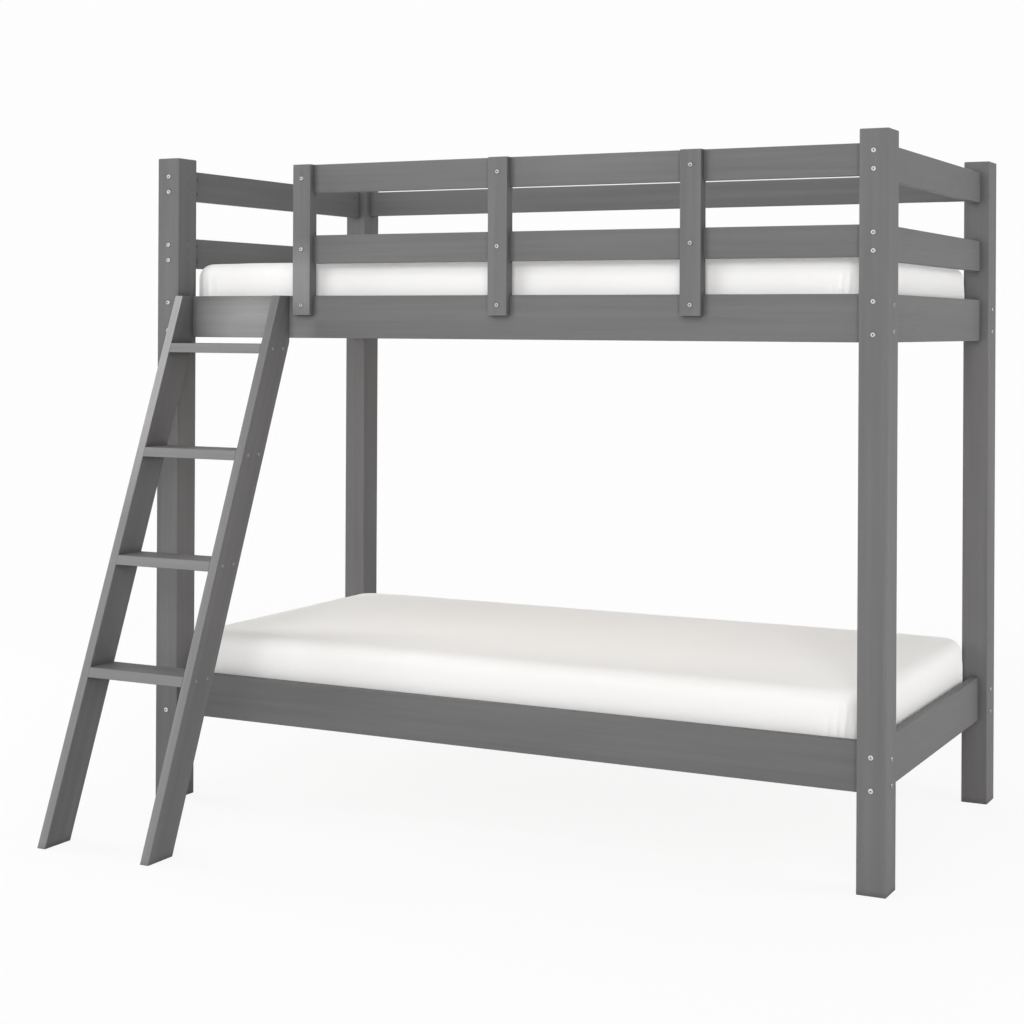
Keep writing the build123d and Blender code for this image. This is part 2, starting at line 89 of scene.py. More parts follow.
class Graph:
    """A material and its shader, with short calls to add and link nodes."""

    def __init__(self, name):
        self.material = bpy.data.materials.new(name)
        self.material.use_nodes = True
        self.tree = self.material.node_tree
        self.shader = self.tree.nodes["Principled BSDF"]

    def add(self, kind, settings=(), **inputs):
        node = self.tree.nodes.new("ShaderNode" + kind)
        for key, value in dict(settings).items():
            setattr(node, key, value)
        for key, value in inputs.items():
            self.put(node.inputs[key.replace("_", " ")], value)
        return node

    def put(self, socket, value):
        if isinstance(value, bpy.types.NodeSocket):
            self.tree.links.new(value, socket)
        else:
            socket.default_value = value

    def math(self, operation, a, b=0.0):
        node = self.add("Math", {"operation": operation})
        self.put(node.inputs[0], a)
        self.put(node.inputs[1], b)
        return node.outputs[0]

    def remap(self, value, low, high, out_low=0.0, out_high=1.0):
        node = self.add("MapRange", Value=value, From_Min=low, From_Max=high, To_Min=out_low,
                        To_Max=out_high)
        return node.outputs[0]

    def mix(self, factor, a, b):
        node = self.add("Mix", {"data_type": "RGBA"})
        self.put(node.inputs["Factor"], factor)
        self.put(node.inputs["A"], a)
        self.put(node.inputs["B"], b)
        return node.outputs["Result"]

    def place(self, turn=(0, 0, 0), shift=(0, 0, 0), stretch=(1, 1, 1)):
        """Object coordinates, shifted and turned so that the grain runs along X, then stretched."""
        spot = self.add("TexCoord").outputs["Object"]
        turned = self.add("Mapping", Vector=spot, Location=shift, Rotation=turn)
        return self.add("Mapping", Vector=turned.outputs[0], Scale=stretch).outputs[0]

    def noise(self, vector, scale, detail=3.0, roughness=0.55, distortion=0.0):
        node = self.add("TexNoise", Vector=vector, Scale=scale, Detail=detail, Roughness=roughness,
                        Distortion=distortion)
        return node.outputs[0]

    def edges(self, radius):
        """Where the surface turns sharply within a radius: 0 on a flat, towards 1 at an edge."""
        bevel = self.add("Bevel", {"samples": 6}, Radius=radius).outputs[0]
        normal = self.add("NewGeometry").outputs["Normal"]
        dot = self.add("VectorMath", {"operation": "DOT_PRODUCT"})
        self.put(dot.inputs[0], bevel)
        self.put(dot.inputs[1], normal)
        return self.remap(dot.outputs["Value"], 0.995, 0.80)

    def bump(self, height, distance, strength=1.0):
        node = self.add("Bump", Height=height, Distance=distance, Strength=strength)
        self.put(self.shader.inputs["Normal"], node.outputs[0])

    def finish(self, colour, roughness, **constants):
        self.put(self.shader.inputs["Base Color"], colour)
        self.put(self.shader.inputs["Roughness"], roughness)
        for key, value in constants.items():
            self.shader.inputs[key.replace("_", " ")].default_value = value
        return self.material


def rgba(colour, gain=1.0):
    return (colour[0] * gain, colour[1] * gain, colour[2] * gain, 1.0)


def grain_turn(direction):
    """The rotation that brings a grain direction to X."""
    return Vector(direction).rotation_difference(Vector((1, 0, 0))).to_euler()


def front_light_spots(g, spots):
    """How far the faces to the front are made lighter, as painted light, from spots given as
    (centre, reach, share)."""
    facing = g.add("VectorMath", {"operation": "DOT_PRODUCT"})
    g.put(facing.inputs[0], g.add("NewGeometry").outputs["Normal"])
    facing.inputs[1].default_value = (0, -1, 0)
    front = g.remap(facing.outputs["Value"], *LIT_FRONT_FACE)
    total = 0.0
    for centre, reach, share in spots:
        away = g.add("VectorMath", {"operation": "SUBTRACT"})
        g.put(away.inputs[0], g.add("TexCoord").outputs["Object"])
        away.inputs[1].default_value = centre
        near = g.add("VectorMath", {"operation": "DIVIDE"})
        g.put(near.inputs[0], away.outputs[0])
        near.inputs[1].default_value = reach
        distance = g.add("VectorMath", {"operation": "LENGTH"})
        g.put(distance.inputs[0], near.outputs[0])
        spot_light = g.remap(distance.outputs["Value"], *SPOT_FADE, 0.0, share)
        total = g.math("MAXIMUM", spot_light, total)
    return g.math("MULTIPLY", front, total)


def painted_wood(name, direction, seed, spots=()):
    """Satin paint over pine: faint long streaks, a brushed film, edges made lighter as painted edge
    highlight and rubbed paint, painted shade in corners and joints, and spots of painted light on faces
    to the front."""
    g = Graph(name)
    turn = grain_turn(direction)
    shift = (seed * 1.37, seed * 0.61, seed * 0.83)
    streaks = g.noise(g.place(turn, shift, (1.6, 60, 60)), 1.0, 5.0, 0.62, 0.25)
    bands = g.noise(g.place(turn, shift, (0.55, 13, 13)), 1.0, 3.0, 0.5, 0.6)
    clouds = g.noise(g.place(turn, shift, (1.1, 3.0, 3.0)), 1.0, 2.0)
    tone = g.math("ADD", g.remap(streaks, 0.3, 0.7, -0.075, 0.075),
                  g.remap(bands, 0.3, 0.7, -0.055, 0.055))
    tone = g.math("ADD", tone, g.remap(clouds, 0.35, 0.65, 0.96, 1.04))
    paint = g.mix(g.remap(tone, 0.8, 1.2), rgba(PAINT, 0.8), rgba(PAINT, 1.2))
    # Edges made lighter: partly a painted edge highlight, partly rubbed paint.
    edge_wear_and_highlight = g.math("MULTIPLY", g.edges(EDGE_RADIUS), g.remap(clouds, 0.3, 0.7, 0.15, 0.4))
    colour = g.mix(edge_wear_and_highlight, paint, rgba(PAINT_WORN_AND_LIT))
    # Painted light: spots on faces to the front, on the ladder, a rail and an upright, painted lighter.
    if spots:
        lit_spots = g.math("MULTIPLY", front_light_spots(g, spots), g.remap(streaks, 0.3, 0.7, 0.85, 1.15))
        colour = g.mix(lit_spots, colour, rgba(PAINT_WORN_AND_LIT))
    # Painted shade: the paint darkens in corners and at joints, where other faces are near.
    nook_shade = g.add("AmbientOcclusion", {"samples": 4}, Distance=NOOK_REACH).outputs["AO"]
    colour = g.mix(g.remap(nook_shade, *NOOK_OPEN, NOOK_SHADE_DEPTH, 0.0), colour, rgba(PAINT, NOOK_SHADE))
    brush = g.noise(g.place(turn, shift, (14, 420, 420)), 1.0, 2.0)
    height = g.math("ADD", g.math("MULTIPLY", streaks, 0.8), g.math("MULTIPLY", brush, 0.35))
    g.bump(height, 0.0006, 0.45)
    roughness = g.remap(g.math("ADD", streaks, brush), 0.6, 1.4, 0.48, 0.66)
    return g.finish(colour, roughness, Specular_IOR_Level=0.10)


def bare_pine(name, direction, seed):
    """Planed pine with growth lines and small knots."""
    g = Graph(name)
    turn = grain_turn(direction)
    shift = (seed * 0.9, seed * 1.7, seed * 0.4)
    lines = g.noise(g.place(turn, shift, (0.9, 38, 38)), 1.0, 5.0, 0.6, 0.9)
    broad = g.noise(g.place(turn, shift, (0.7, 7, 7)), 1.0, 2.0)
    knots = g.add("TexVoronoi", Vector=g.place(turn, shift, (3.2, 9, 9)), Scale=1.0)
    wood = g.mix(g.remap(lines, 0.35, 0.68), rgba(PINE_PALE), rgba(PINE_DARK, 1.25))
    wood = g.mix(g.remap(broad, 0.3, 0.7, 0.0, 0.35), wood, rgba(PINE_PALE, 0.85))
    near_knot = g.remap(knots.outputs["Distance"], 0.10, 0.05, 0.0, 0.85)
    wood = g.mix(near_knot, wood, rgba(PINE_DARK, 0.5))
    g.bump(lines, 0.0005, 0.5)
    return g.finish(wood, g.remap(lines, 0.3, 0.7, 0.55, 0.72), Specular_IOR_Level=0.3)


def zinc_plate(name, gain, low_gain):
    """Zinc plated steel, lightly marked, with painted shade in its recesses, and painted light
    and shade by height: as bright near the floor as low_gain says."""
    g = Graph(name)
    marks = g.noise(g.place(), 900.0, 3.0)
    film = g.noise(g.place(), 160.0, 2.0)
    low, high = (g.mix(g.remap(film, 0.35, 0.7), rgba(ZINC, k), rgba(ZINC, 0.72 * k))
                 for k in (low_gain, gain))
    height = g.add("SeparateXYZ", Vector=g.add("TexCoord").outputs["Object"]).outputs["Z"]
    plate = g.mix(g.remap(height, *METAL_HEIGHT), low, high)
    # Painted shade inside the metal's recesses.
    socket_shade = g.add("AmbientOcclusion", {"samples": 8, "only_local": True}, Distance=SOCKET_REACH)
    colour = g.mix(g.remap(socket_shade.outputs["AO"], *SOCKET_OPEN), rgba(ZINC, SOCKET_SHADE), plate)
    g.bump(marks, 0.0001, 0.3)
    return g.finish(colour, g.remap(marks, 0.3, 0.7, 0.30, 0.50), Metallic=1.0)


def sheet_cotton():
    """Smooth white cotton: a plain weave that shows only close by, and soft creases."""
    g = Graph("sheet_cotton")
    threads = [g.add("TexWave", {"bands_direction": way}, Vector=g.place(), Scale=420.0, Distortion=0.6)
               for way in ("X", "Y")]
    weave = g.math("MAXIMUM", threads[0].outputs["Fac"], threads[1].outputs["Fac"])
    creases = g.noise(g.place(stretch=(1.0, 1.6, 1.0)), 9.0, 4.0, 0.5, 0.8)
    fuzz = g.noise(g.place(), 1400.0, 2.0)
    height = g.math("ADD", g.math("MULTIPLY", weave, 0.06), g.math("MULTIPLY", creases, 1.0))
    g.bump(height, 0.0022, 0.22)
    between = g.math("MULTIPLY", weave, g.remap(fuzz, 0.3, 0.7, 0.2, 0.5))
    colour = g.mix(between, rgba(COTTON, 0.985), rgba(COTTON))
    return g.finish(colour, g.remap(fuzz, 0.3, 0.7, 0.8, 0.95), Specular_IOR_Level=0.2,
                    Sheen_Weight=0.12, Sheen_Roughness=0.5)


def ticking():
    """Knitted mattress cover with faint slanting stripes."""
    g = Graph("mattress_ticking")
    knit = g.noise(g.place(), 1300.0, 2.0)
    stripe = g.add("TexWave", {"bands_direction": "DIAGONAL"}, Vector=g.place(), Scale=30.0,
                   Distortion=0.3)
    striped = g.remap(stripe.outputs["Fac"], 0.2, 0.8, 0.0, 0.35)
    colour = g.mix(striped, rgba(TICKING), rgba(TICKING, 0.88))
    g.bump(knit, 0.0006, 0.5)
    roughness = g.remap(knit, 0.3, 0.7, 0.85, 0.97)
    return g.finish(colour, roughness, Specular_IOR_Level=0.2, Sheen_Weight=0.2)


def woven_tape():
    """Cotton tape, woven with slanting and straight threads."""
    g = Graph("woven_tape")
    weft = g.add("TexWave", {"bands_direction": "DIAGONAL"}, Vector=g.place(), Scale=260.0,
                 Distortion=0.4)
    warp = g.add("TexWave", {"bands_direction": "Y"}, Vector=g.place(), Scale=330.0)
    weave = g.math("MULTIPLY", weft.outputs["Fac"], warp.outputs["Fac"])
    colour = g.mix(weave, rgba(TAPE, 0.78), rgba(TAPE))
    g.bump(weave, 0.0005, 0.7)
    return g.finish(colour, g.remap(weave, 0.0, 1.0, 0.9, 0.75), Specular_IOR_Level=0.2)


# ---- Finishes of the CAD nodes ----

LIT_ZINC_GAIN = (0.58, 0.88)  # painted light and shade: the metal's tone high up on the bed, and near the floor
# Painted shade: a darker copy of the zinc, for the guard bolts, side rail bolts and step screws.
SHADED_ZINC_GAIN = (0.42, 0.40)
METAL_HEIGHT = (0.4, 1.1)  # between near the floor and high up
SHADED_HARDWARE = {"guard_bolts", "side_rail_bolts", "step_screws"}
PAINTED_HARDWARE = {"barrel_nuts", "guard_cap_nuts"}

# Spots of painted light: their share of the lighter colour, their reach along X, Y and Z from
#  their middle, and its rise as a share of the board's height.
LADDER_LIGHT = 0.31
LADDER_REACH = (9, 9, 9)  # all of it
LOW_LIT = "ladder_stringer_right"  # painted lighter at its foot, and less towards its top
LOW_LIT_REACH = (9, 9, 1.4)
LOW_LIT_HEIGHT = 0.3
GRIP_LIGHT = 1.0
GRIP_REACH = (0.12, 0.6, 0.62)
GRIP_FROM_TOP = 0.12
UPRIGHT_LIGHT = 0.37
UPRIGHT_RISE = 0.20
UPRIGHT_REACH = (0.2, 0.2, 0.125)
RAIL_LIGHT = 0.85
RAIL_RISE = 0.2
RAIL_REACH = (0.21, 0.2, 0.125)
RAIL_SHIFT = 0.05  # from between the stringers towards the middle of the bed

LADDER_LEAN = math.radians(21.9)
GRAIN = {
    "post": (0, 0, 1),
    "guard_upright": (0, 0, 1),
    "ladder_stringer": (0, -math.sin(LADDER_LEAN), -math.cos(LADDER_LEAN)),
    "end_guard": (0, 1, 0),
    "upper_end_rail": (0, 1, 0),
    "lower_end_rail": (0, 1, 0),
    "upper_slats": (0, 1, 0),
    "lower_slats": (0, 1, 0),
}


def grain_of(node):
    """The way the grain runs in a board, along X unless its name says otherwise."""
    for start, direction in GRAIN.items():
        if node.startswith(start):
            return direction
    return (1, 0, 0)


def spot_on(node, x, rise):
    """A place on a board's front face, at a share of the board's height."""
    low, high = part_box(node)
    return x, low.y, low.z + rise * (high.z - low.z)


def light_spots_of(node):
    """Where a board is made lighter, as painted light, given as (middle, reach, share):
    the ladder's front, its left grip, and the rail and the upright by its top."""
    left_low, left_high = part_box("ladder_stringer_left")
    right_low, right_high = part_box("ladder_stringer_right")
    if node == "upper_side_rail_front":
        x = (left_high.x + right_low.x) / 2 + RAIL_SHIFT
        return [(spot_on(node, x, RAIL_RISE), RAIL_REACH, RAIL_LIGHT)]
    if node == "guard_upright_1":
        low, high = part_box(node)
        x = (low.x + high.x) / 2
        return [(spot_on(node, x, UPRIGHT_RISE), UPRIGHT_REACH, UPRIGHT_LIGHT)]
    if not node.startswith(("ladder_stringer", "ladder_step")):
        return []
    height, reach = left_high.z / 2, LADDER_REACH
    if node == LOW_LIT:
        height, reach = LOW_LIT_HEIGHT, LOW_LIT_REACH
    spots = [(((left_low.x + right_high.x) / 2, left_low.y, height), reach, LADDER_LIGHT)]
    if node == "ladder_stringer_left":
        grip = (left_low.x, left_high.y - GRIP_FROM_TOP, left_high.z - GRIP_FROM_TOP)
        spots.append((grip, GRIP_REACH, GRIP_LIGHT))
    return spots


def dress(node, material):
    node.data.materials.clear()
    node.data.materials.append(material)


# Lit and shaded copies of one zinc: painted light and painted shade.
lit_metal = zinc_plate("lit_zinc", *LIT_ZINC_GAIN)
shaded_metal = zinc_plate("shaded_zinc", *SHADED_ZINC_GAIN)
cotton_cloth = sheet_cotton()
ticking_cloth = ticking()
tape_cloth = woven_tape()
slots = {s["node"]: s["material_slot"] for s in frame["record"]["subparts"]}
for seed, name in enumerate(sorted(nodes)):
    if slots[name] == "painted_pine" or name in PAINTED_HARDWARE:
        paint = painted_wood(f"paint_{name}", grain_of(name), seed, light_spots_of(name))
        dress(nodes[name], paint)
    elif slots[name] == "bare_pine":
        dress(nodes[name], bare_pine(f"pine_{name}", grain_of(name), seed))
    elif slots[name] == "steel":
        dress(nodes[name], shaded_metal if name in SHADED_HARDWARE else lit_metal)


# ---- Mattresses and sheets ----

# The mattress's rounded edges, the sheet's hem under it, and how far its top is crowned.
CORNER = 0.070
TOP_EDGE = 0.038
BOTTOM_EDGE = 0.019
CROWN = 0.003
HEM = 0.090
HEM_CORNER = 0.012  # radius of the corners inside the sheet's edge
HEM_LEVEL = 0.0010
HEM_GATHER = 0.0025
HEM_TAPE = (0.003, 0.0, -0.004, -0.008)  # the tape's rows of points, from the sheet's edge
HEM_WAVE = 0.00012
HEM_THICK = 0.0003

# The points of the net: close together by the corners, where the sheet folds.
CORNER_POINTS = 28
NEAR_STEP = 0.0036
NEAR_REACH = 0.11
FAR_STEP = 0.028
HEM_STEPS = 7
BOTTOM_STEPS = 7
WALL_STEPS = 12
TOP_STEPS = 9

# The cushion's swelling as cloth: the room left for it, how far a point may move, and its frames.
SWELL_ROOM = 0.0022
SWELL_CAP = 0.0030
SWELL_STEPS = 20
SWELL_CLOTH = {
    "quality": 4,
    "mass": 0.4,
    "tension_stiffness": 12,
    "compression_stiffness": 12,
    "bending_stiffness": 1.5,
    "use_pressure": True,
    "uniform_pressure_force": 4,
}

# The sheet: how far it stands off, its slow ripple, and how its folds rise and lean.
SHEET_GAP = 0.0008
SHEET_THICK = 0.0005
SHEET_RIPPLE = 0.0006
RIPPLE_PITCH = 5.0
SEED_STEP = 7.3  # between the two sheets' ripples
FOLD_STEEP = 0.4  # how wide a fold is on its side by the corner, as a share of the other side
FOLD_TOP = 0.4  # the share of the mattress's height over which a fold fades below its top
FOLD_FOOT = 0.1  # and above its foot
FOLD_LEAN = 0.012  # how far a fold leans from its corner, from its top to the foot of the mattress


def side_steps(length):
    """Places along a straight side, close together near its corners, from 0 to just short of 1."""
    near = int(NEAR_REACH / NEAR_STEP)
    far = int((length - 2 * NEAR_REACH) / FAR_STEP)
    share = NEAR_REACH / length
    places = [share * k / near for k in range(near)]
    places += [share + (1 - 2 * share) * k / far for k in range(far)]
    places += [1 - share + share * k / near for k in range(near)]
    return places


def ring(half, inset, z, long_side, short_side):
    """The points of a rounded rectangle, drawn in from the mattress's wall. The first is at a
    corner's middle."""
    half_x, half_y = half.x - inset, half.y - inset
    radius = max(CORNER - inset, HEM_CORNER)
    centres = [(half_x - radius, half_y - radius), (radius - half_x, half_y - radius),
               (radius - half_x, radius - half_y), (half_x - radius, radius - half_y)]
    points = []
    for index, (cx, cy) in enumerate(centres):
        start = index * math.pi / 2
        for step in range(CORNER_POINTS):
            angle = start + math.pi / 2 * step / CORNER_POINTS
            points.append(Vector((cx + radius * math.cos(angle), cy + radius * math.sin(angle), z)))
        turn = start + math.pi / 2
        reach = Vector((radius * math.cos(turn), radius * math.sin(turn), 0))
        a = Vector((cx, cy, z)) + reach
        b = Vector((*centres[(index + 1) % 4], z)) + reach
        points += [a.lerp(b, place) for place in (long_side if index % 2 == 0 else short_side)]
    half_corner = CORNER_POINTS // 2
    return points[half_corner:] + points[:half_corner]


def section(thick):
    """The half section of the mattress, as (inset from its wall, height), from hem to top."""
    points = [(HEM - (HEM - BOTTOM_EDGE) * k / HEM_STEPS, 0.0) for k in range(HEM_STEPS)]
    for k in range(BOTTOM_STEPS + 1):
        angle = math.pi / 2 * k / BOTTOM_STEPS
        points.append((BOTTOM_EDGE * (1 - math.sin(angle)), BOTTOM_EDGE * (1 - math.cos(angle))))
    low, high = BOTTOM_EDGE, thick - TOP_EDGE
    points += [(0.0, low + (high - low) * k / WALL_STEPS) for k in range(1, WALL_STEPS)]
    for k in range(TOP_STEPS + 1):
        angle = math.pi / 2 * k / TOP_STEPS
        points.append((TOP_EDGE * (1 - math.cos(angle)), high + TOP_EDGE * math.sin(angle)))
    return points


def crown(point, half):
    """How far the mattress's top swells at a point, none at its rim."""
    return CROWN * max(0.0, 1 - (point.x / half.x) ** 4) * max(0.0, 1 - (point.y / half.y) ** 4)


def face_grid(row, across, down):
    """A net of points over a face from its rim, whose corners are at the rim's corner middles.
    Its own rim holds indices of the rim's points, and the rest are new points."""
    count = len(row)
    top = list(range(across + 1))
    left = list(range(across, across + down + 1))
    bottom = [(across + down + (across - k)) % count for k in range(across + 1)]
    right = [(count - k) % count for k in range(down + 1)]
    net = []
    a, b, c, d = (row[i] for i in (top[0], top[-1], bottom[0], bottom[-1]))
    for j in range(down + 1):
        v = (row[right[j]].y - a.y) / (c.y - a.y)
        line = []
        for i in range(across + 1):
            u = (row[top[i]].x - a.x) / (b.x - a.x)
            edge = {0: top[i], down: bottom[i]}.get(j, {0: right[j], across: left[j]}.get(i))
            if edge is not None:
                line.append(edge)
                continue
            spot = row[top[i]] * (1 - v) + row[bottom[i]] * v
            spot = spot + row[right[j]] * (1 - u) + row[left[j]] * u
            spot -= a * (1 - u) * (1 - v) + b * u * (1 - v) + c * (1 - u) * v + d * u * v
            line.append(spot)
        net.append(line)
    return net


def bridge(bm, rows, flip=False):
    """Join rings of equally many points with faces, and give back the rings of their vertices."""
    rings = [[bm.verts.new(point) for point in row] for row in rows]
    for row, following in zip(rings, rings[1:]):
        for index in range(len(row)):
            after = (index + 1) % len(row)
            first, *others = row[index], row[after], following[after], following[index]
            bm.faces.new((first, *reversed(others)) if flip else (first, *others))
    return rings


def skin(rows, nets):
    """A closed surface: faces between rings of points, and nets of points that close its faces."""
    bm = bmesh.new()
    rings = bridge(bm, rows)
    for place, net in nets:
        made = [[rings[place][p] if isinstance(p, int) else bm.verts.new(p) for p in line]
                for line in net]
        for line, following in zip(made, made[1:]):
            for index in range(len(line) - 1):
                bm.faces.new((line[index], line[index + 1], following[index + 1], following[index]))
    bmesh.ops.recalc_face_normals(bm, faces=bm.faces)
    return bm


def piece_from(name, bm, material):
    mesh = bpy.data.meshes.new(name)
    bm.to_mesh(mesh)
    bm.free()
    mesh.polygons.foreach_set("use_smooth", [True] * len(mesh.polygons))
    mesh.materials.append(material)
    piece = bpy.data.objects.new(name, mesh)
    bpy.context.scene.collection.objects.link(piece)
    return piece


def swell(piece):
    """Blow the cushion up a little as cloth, with no gravity, and limit how far a point moves."""
    before = [v.co.copy() for v in piece.data.vertices]
    cloth = piece.modifiers.new("swell", "CLOTH")
    for key, value in SWELL_CLOTH.items():
        setattr(cloth.settings, key, value)
    cloth.settings.effector_weights.gravity = 0
    for step in range(1, SWELL_STEPS + 1):
        bpy.context.scene.frame_set(step)
    shown = piece.evaluated_get(bpy.context.evaluated_depsgraph_get())
    after = [v.co.copy() for v in shown.data.vertices]
    piece.modifiers.remove(cloth)
    bpy.context.scene.frame_set(1)
    for vertex, old, new in zip(piece.data.vertices, before, after):
        move = new - old
        if move.length > 1e-7:
            vertex.co = old + move * (SWELL_CAP * math.tanh(move.length / SWELL_CAP) / move.length)


class Bedding:
    """The shape that both mattresses share, about the middle in plan and standing on z = 0."""

    def __init__(self, half, thick):
        self.half, self.thick = half, thick
        core = Vector((half.x - SWELL_ROOM, half.y - SWELL_ROOM))
        self.long_side = side_steps(2 * (core.x - CORNER))
        self.short_side = side_steps(2 * (core.y - CORNER))
        rows = [ring(core, inset, z, self.long_side, self.short_side)
                for inset, z in section(thick - CROWN)]
        self.count = len(rows[0])
        self.across = len(self.long_side) + CORNER_POINTS
        self.down = len(self.short_side) + CORNER_POINTS
        self.rings = len(rows)
        top = face_grid(rows[-1], self.across, self.down)
        for point in [p for line in top for p in line if not isinstance(p, int)] + rows[-1]:
            point.z += crown(point, core)
        bottom = face_grid(rows[0], self.across, self.down)
        cushion = piece_from("cushion", skin(rows, [(-1, top), (0, bottom)]), ticking_cloth)
        swell(cushion)
        for vertex in cushion.data.vertices:
            vertex.co.x = min(max(vertex.co.x, -half.x), half.x)
            vertex.co.y = min(max(vertex.co.y, -half.y), half.y)
            vertex.co.z = min(max(vertex.co.z, 0.0), thick)
        cushion.data.update()
        self.points = [v.co.copy() for v in cushion.data.vertices]
        self.normals = [v.normal.copy() for v in cushion.data.vertices]
        self.mesh = cushion.data
        bpy.data.objects.remove(cushion)

    def along(self, point):
        """How far along the wall a point is from its corner's middle, and which corner that is."""
        corner = (1 if point.x > 0 else -1, 1 if point.y > 0 else -1)
        out = Vector((abs(point.x) - self.half.x + CORNER, abs(point.y) - self.half.y + CORNER))
        arc = CORNER * math.pi / 4
        if out.x > 0 and out.y > 0:
            return (math.atan2(out.y, out.x) - math.pi / 4) * CORNER, corner
        return (arc - out.x if out.x < out.y else out.y - arc), corner

    def fold(self, point, folds):
        """How far the sheet stands off the mattress in the upright folds by its corners."""
        place, corner = self.along(point)
        height = point.z / self.thick
        total = 0.0
        for where, at, width, high, top in folds:
            if where != corner:
                continue
            rise = max(0.0, min(1.0, (top - height) / FOLD_TOP))
            rise *= max(0.0, min(1.0, height / FOLD_FOOT))
            lean = at + FOLD_LEAN * (top - height) * (1 if at > 0 else -1)
            away = (place - lean) / width
            total += high * rise * math.exp(-((away if away * at > 0 else away / FOLD_STEEP) ** 2))
        return total

    def mattress(self, name):
        piece = bpy.data.objects.new(name, self.mesh.copy())
        bpy.context.scene.collection.objects.link(piece)
        return piece

    def cover(self, index, folds, seed):
        """Where the sheet lies over one point of the mattress."""
        point, normal = self.points[index], self.normals[index]
        stand = SHEET_GAP
        if point.z > 1e-4:
            ripple = noise.noise(point * RIPPLE_PITCH + Vector((seed, 0, 0)))
            stand += self.fold(point, folds) + SHEET_RIPPLE * (1 + ripple) / 2
        return point + normal * stand

    def sheet(self, name, folds, seed):
        """A fitted sheet drawn over the mattress, with its edge gathered on the underside."""
        rows = [[self.cover(start + k, folds, seed) for k in range(self.count)]
                for start in range(0, self.rings * self.count, self.count)]
        for index, point in enumerate(rows[0]):
            pull = HEM_GATHER * math.sin(index * 0.9 + 1.7 * math.sin(index * 0.23 + seed))
            point.x -= pull * point.x / self.half.x
            point.y -= pull * point.y / self.half.y
        net = face_grid(rows[-1], self.across, self.down)
        inner = self.rings * self.count
        for line in net:
            for k, spot in enumerate(line):
                if not isinstance(spot, int):
                    line[k] = self.cover(inner, folds, seed)
                    inner += 1
        sheet = piece_from(name, skin(rows, [(-1, net)]), cotton_cloth)
        layer = sheet.modifiers.new("layer", "SOLIDIFY")
        layer.thickness = SHEET_THICK
        layer.offset = -1
        return sheet

    def hem(self, name):
        """The elastic tape sewn along the sheet's edge, under the mattress."""
        rows = []
        for shift in HEM_TAPE:
            row = ring(self.half, HEM + shift, -HEM_LEVEL, self.long_side, self.short_side)
            for index, point in enumerate(row):
                point.z += HEM_WAVE * math.sin(index * 1.3)
            rows.append(row)
        bm = bmesh.new()
        bridge(bm, rows, flip=True)
        piece = piece_from(name, bm, tape_cloth)
        layer = piece.modifiers.new("layer", "SOLIDIFY")
        layer.thickness = HEM_THICK
        layer.offset = 0
        return piece


mattress_low, mattress_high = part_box("upper_mattress")
mattress_size = mattress_high - mattress_low
bed_middle = (mattress_low + mattress_high) / 2
bedding = Bedding(mattress_size.xy / 2, mattress_size.z)

# Folds: (corner, place along the wall from its middle, width, how far it stands, its top's share).
# A place is positive towards the long front or back, and negative towards the end.
REAR_FOLDS = [
    ((1, 1), 0.056, 0.0069, 0.0040, 0.84), ((1, 1), 0.080, 0.0080, 0.0031, 0.66),
    ((1, 1), -0.048, 0.0075, 0.0033, 0.80), ((-1, 1), 0.054, 0.0069, 0.0040, 0.84),
    ((-1, 1), 0.082, 0.0080, 0.0031, 0.66), ((-1, 1), -0.060, 0.0075, 0.0033, 0.76)]
FOLDS = {
    "lower": [((1, -1), 0.040, 0.0063, 0.0040, 0.90), ((1, -1), 0.060, 0.0057, 0.0046, 0.80),
              ((1, -1), 0.084, 0.0092, 0.0040, 0.68), ((1, -1), 0.016, 0.0069, 0.0028, 0.72),
              ((1, -1), -0.052, 0.0069, 0.0033, 0.80), ((1, -1), -0.078, 0.0080, 0.0026, 0.66),
              ((-1, -1), 0.060, 0.0080, 0.0035, 0.80), ((-1, -1), 0.088, 0.0086, 0.0028, 0.66),
              ((-1, -1), -0.045, 0.0080, 0.0028, 0.75)] + REAR_FOLDS,
    "upper": [((1, -1), 0.036, 0.0063, 0.0038, 0.94), ((1, -1), 0.055, 0.0057, 0.0044, 0.84),
              ((1, -1), 0.080, 0.0092, 0.0034, 0.68), ((1, -1), 0.014, 0.0069, 0.0026, 0.72),
              ((1, -1), -0.088, 0.0048, 0.0040, 1.02), ((1, -1), -0.050, 0.0075, 0.0031, 0.74),
              ((-1, -1), 0.050, 0.0075, 0.0040, 0.90), ((-1, -1), 0.078, 0.0080, 0.0031, 0.80),
              ((-1, -1), -0.020, 0.0063, 0.0028, 0.92), ((-1, -1), -0.052, 0.0069, 0.0035, 0.92),
              ((-1, -1), -0.080, 0.0092, 0.0028, 0.80)] + REAR_FOLDS,
}
for seed, level in enumerate(("lower", "upper")):
    low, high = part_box(f"{level}_mattress")
    place = Vector((bed_middle.x, bed_middle.y, low.z))
    pad = bedding.mattress(f"{level}_mattress_pad")
    sheet = bedding.sheet(f"{level}_sheet", FOLDS[level], seed * SEED_STEP)
    hem = bedding.hem(f"{level}_sheet_hem")
    for piece in (pad, sheet, hem):
        piece.location = place
        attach(piece, f"{level}_bedding")
    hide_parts(f"{level}_mattress")
    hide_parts(f"{level}_fitted_sheet")


# ---- Webbing straps under the slats ----

